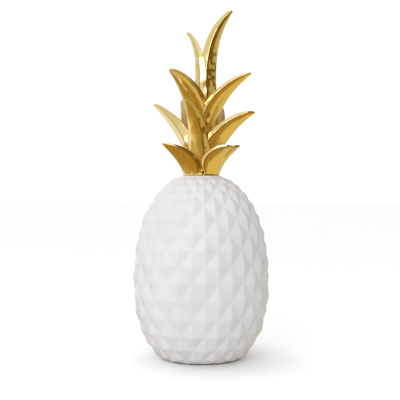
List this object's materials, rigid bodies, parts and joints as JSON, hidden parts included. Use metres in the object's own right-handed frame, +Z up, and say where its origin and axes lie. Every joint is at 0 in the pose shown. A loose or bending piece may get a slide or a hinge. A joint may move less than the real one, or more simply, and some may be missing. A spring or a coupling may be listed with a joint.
{
  "type": "pineapple ornament",
  "caption": "Standing pineapple ornament: a white ceramic fruit covered in rows of four-sided studs, under a polished gold crown of thick curving leaves.",
  "frame": {"origin": "on the vertical axis, in the middle of the foot's underside", "axes": "+Z up along the pineapple's axis, -Y towards the front"},
  "size_m": [0.1218, 0.1218, 0.3108],
  "materials": {
    "white_ceramic": "satin white glaze with softly rounded stud edges",
    "polished_gold": "mirror-polished gold plating"
  },
  "bodies": {
    "root": {"body": "white_ceramic", "crown": "polished_gold"}
  },
  "joints": []
}
